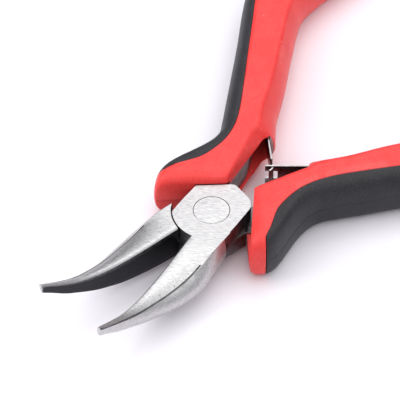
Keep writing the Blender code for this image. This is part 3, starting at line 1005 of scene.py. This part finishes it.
def makeLeaf(name, side, node, tip):
    shape = springShape
    forked = tip == "forked_leaf"
    line = [(p.x, p.y, midLevel) for p in leafLine(shape, not forked)]
    leaf = sweepStrip(name, line, shape["width"], shape["thickness"], shape["edgeRound"], springFinish,
                      shape["spacing"])
    half, neck, slot = (shape[k] / 2 for k in ("width", "neckWidth", "slotWidth"))
    reach = shape["reach"]
    if forked:
        start, end = reach - shape["slotBehind"], reach + shape["slotAhead"]
        cutPiece(leaf, acrossStrip("slot", start, end, -slot, slot, shape), "DIFFERENCE")
    else:
        start, end = reach - shape["neckBehind"], reach + shape["neckAhead"]
        for low, high in ((neck, half + 1.0), (-half - 1.0, -neck)):
            cutPiece(leaf, acrossStrip("notch", start, end, low, high, shape), "DIFFERENCE")
    placePiece(leaf, side, shape["shade"])
    finishPiece(leaf, node, None, [springFinish, steelFinish])
    paintFaces(leaf, [abs(face.normal.z) > 0.5 for face in leaf.data.polygons])   # edges painted bright ground steel, a painted highlight for the edges that face up
    clamp = standOpen(side) @ Vector((*shape["clamp"], midLevel))
    along = (standOpen(side).to_3x3() @ leafWay(shape).to_3d()).normalized() * mm
    start, end = clamp - along * shape["bendBehind"], clamp + along * shape["bendAhead"]
    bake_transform(leaf)


def makeRivetHead(side, body, tip):
    # the small rivet that holds a leaf's foot to the tang
    shape = springShape
    back = footWay(shape).to_3d()
    facing, upward = Vector((back.y, -back.x, 0.0)), Vector((0.0, 0.0, 1.0))
    sideways = facing.cross(upward)
    middle = Vector((*shape["clamp"], midLevel)) + back * shape["setback"]
    rings = []
    for out, radius in shape["head"]:
        ring = circlePoints(radius, shape["headSides"])
        rings.append([middle + facing * out + sideways * c + upward * s for c, s in ring])
    head = loftPiece(tip + "_rivet_head", rings)
    placePiece(head, side, shape["headShade"])
    finishPiece(head, tip.replace("_leaf", "_spring_rivet"), body, [springFinish])


rivetShape = {"edge": 0.1, "gap": 0.04, "sink": 0.02, "rise": 0.01, "dome": 0.03, "domeInset": 1.2,
              "shade": 30.0}


def makeRivet():
    shape = rivetShape
    edge, radius = shape["edge"], rivetRadius - shape["gap"]
    rings = []
    for z, r in ((plateBottom + shape["sink"], radius - edge), (plateBottom + edge, radius),
                 (plateTop - edge, radius), (plateTop + shape["rise"], radius - edge),
                 (plateTop + shape["dome"], rivetRadius - shape["domeInset"])):
        rings.append([(x, y, z) for x, y in circlePoints(r)])
    rivet = loftPiece("pivot_rivet_head", rings)
    placePiece(rivet, 1, shape["shade"])
    finishPiece(rivet, "pivot_rivet", "upper_half", [rivetFinish])


makeLever("upper_jaw_and_tang", 1, "upper_lever", "upper_half")
makeLever("lower_jaw_and_tang", -1, "lower_lever", "lower_half")
makeRivet()
print("steel halves made")
makeLeaf("tee_leaf", 1, "tee_leaf_spring", "tee_leaf")
makeRivetHead(1, "upper_half", "tee_leaf")
makeLeaf("forked_leaf_strip", -1, "forked_leaf_spring", "forked_leaf")
makeRivetHead(-1, "lower_half", "forked_leaf")
print("springs made")
makeGrip("left", 1, "upper_half")
makeGrip("right", -1, "lower_half")
print("handles made")


viewShape = {
    "azimuth": 43.5, "elevation": 47.0, "roll": -0.8,   # degrees
    "distance": 0.376,                                  # from the pivot, in metres
    "lens": 180.0, "sensor": 36.0,                      # millimetres
    "pivotAcross": 0.00575, "pivotDown": 0.005,         # where the pivot stands off the middle, as slopes
}
roomShape = {
    "floorColour": (0.9, 0.875, 0.925, 1.0),
    "floorHalf": 3.0,
    "floorDrop": 0.00005,
    "skyStrength": 1.55,
    "skyLean": 0.25,         # the sky brightens towards +X by this share of its height
    "sky": [(0.0, (0.1, 0.1, 0.11)), (0.35, (0.13, 0.13, 0.14)), (0.6, (0.32, 0.33, 0.35)),
            (0.85, (1.0, 1.0, 1.0))],
    # name, place, size, watts
    "panels": [
        ("far panel", (-0.28, 0.46, 0.72), (0.55, 0.6), 1.6),
        ("left panel", (-0.5, -0.45, 0.5), (0.5, 0.7), 3.4),
    ],
}


def aimCamera():
    az, el, roll = (math.radians(viewShape[k]) for k in ("azimuth", "elevation", "roll"))
    ahead = Vector((-math.sin(az) * math.cos(el), math.cos(az) * math.cos(el), -math.sin(el)))
    right = Vector((math.cos(az), math.sin(az), 0.0))
    up = right.cross(ahead)
    rightRolled = right * math.cos(roll) + up * math.sin(roll)
    upRolled = up * math.cos(roll) - right * math.sin(roll)
    target = Vector((pivotPlace.x, pivotPlace.y, plateTop * mm))
    offset = rightRolled * viewShape["pivotAcross"] - upRolled * viewShape["pivotDown"] + ahead
    data = bpy.data.cameras.new("studio camera")
    data.lens = viewShape["lens"]
    data.sensor_width = viewShape["sensor"]
    data.clip_start = 0.01
    camera = bpy.data.objects.new("studio camera", data)
    bpy.context.scene.collection.objects.link(camera)
    turn = Matrix((rightRolled, upRolled, -ahead)).transposed().to_4x4()
    camera.matrix_world = Matrix.Translation(target - offset * viewShape["distance"]) @ turn
    bpy.context.scene.camera = camera


def addPanel(name, place, size, power):
    # a soft light turned towards the middle of the floor
    data = bpy.data.lights.new(name, "AREA")
    data.shape = "RECTANGLE"
    data.size, data.size_y = size
    data.energy = power
    panel = bpy.data.objects.new(name, data)
    bpy.context.scene.collection.objects.link(panel)
    panel.location = place
    panel.rotation_euler = (-Vector(place)).to_track_quat("-Z", "Y").to_euler()


def layFloor():
    builder = bmesh.new()
    bmesh.ops.create_grid(builder, x_segments=8, y_segments=8, size=roomShape["floorHalf"])
    floor = linkPiece("studio floor", builder)
    floor.location.z = -roomShape["floorDrop"]
    paper = startMaterial("floor paper", {"Roughness": 0.9, "Base Color": roomShape["floorColour"],
                                          "Specular IOR Level": 0.1})[0]
    floor.data.materials.append(paper)


def lightRoom():
    world = bpy.data.worlds.new("studio air")
    bpy.context.scene.world = world
    world.use_nodes = True
    tree = world.node_tree
    background = tree.nodes["Background"]
    background.inputs["Strength"].default_value = roomShape["skyStrength"]
    split = addNode(tree, "ShaderNodeSeparateXYZ")
    tree.links.new(addNode(tree, "ShaderNodeTexCoord").outputs["Generated"], split.inputs[0])
    lean = addMath(tree, "MULTIPLY", split.outputs["X"], roomShape["skyLean"])
    height = addMath(tree, "ADD", split.outputs["Z"], lean)
    tree.links.new(addRamp(tree, height, roomShape["sky"]), background.inputs["Color"])
    for panel in roomShape["panels"]:
        addPanel(*panel)
    bpy.context.scene.view_settings.view_transform = "Standard"


aimCamera()
layFloor()
lightRoom()
print("room lit")
